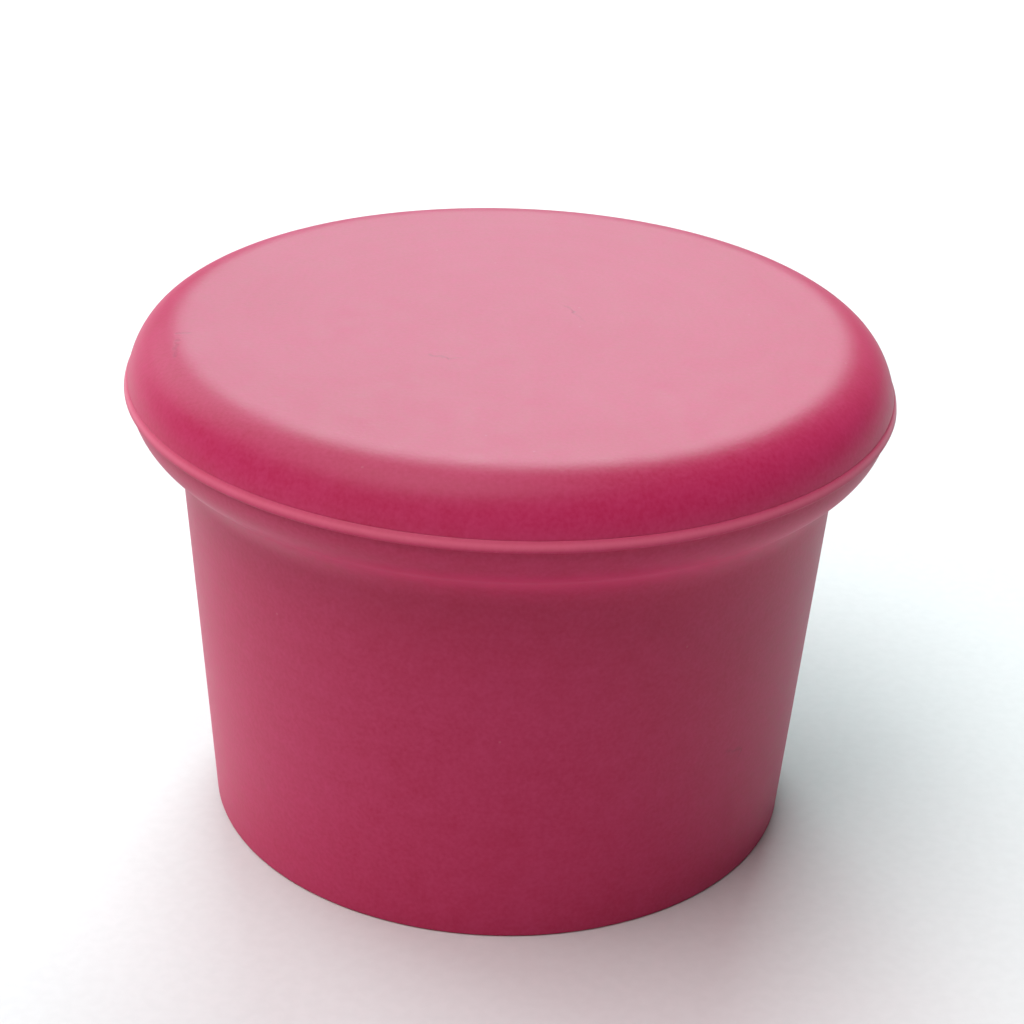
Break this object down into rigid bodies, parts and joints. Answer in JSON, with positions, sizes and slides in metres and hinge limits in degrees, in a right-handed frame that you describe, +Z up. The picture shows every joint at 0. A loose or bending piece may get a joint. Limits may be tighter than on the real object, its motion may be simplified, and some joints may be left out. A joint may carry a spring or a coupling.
{
  "type": "lidded dappen dish",
  "caption": "Small tapered silicone cup with a rolled rim and a rounded well, closed by a flat round-edged press-in lid, for holding nail liquid or powder.",
  "frame": {"origin": "centre of the foot's underside, on the surface the dish stands on", "axes": "+Z up along the axis of revolution, from foot to lid; X and Y are level and interchangeable"},
  "size_m": [0.04, 0.04, 0.0274],
  "materials": {
    "cup_silicone": "soft matt moulded silicone, fine dry sheen",
    "lid_silicone": "soft matt moulded silicone, fine dry sheen, light scuffs on the top"
  },
  "bodies": {
    "cup": {"cup": "cup_silicone"},
    "lid": {"lid": "lid_silicone"}
  },
  "joints": [
    {"name": "lid_lift", "type": "slide", "parent": "cup", "child": "lid", "axis": [0, 0, 1], "range_m": [0, 0.03]}
  ]
}
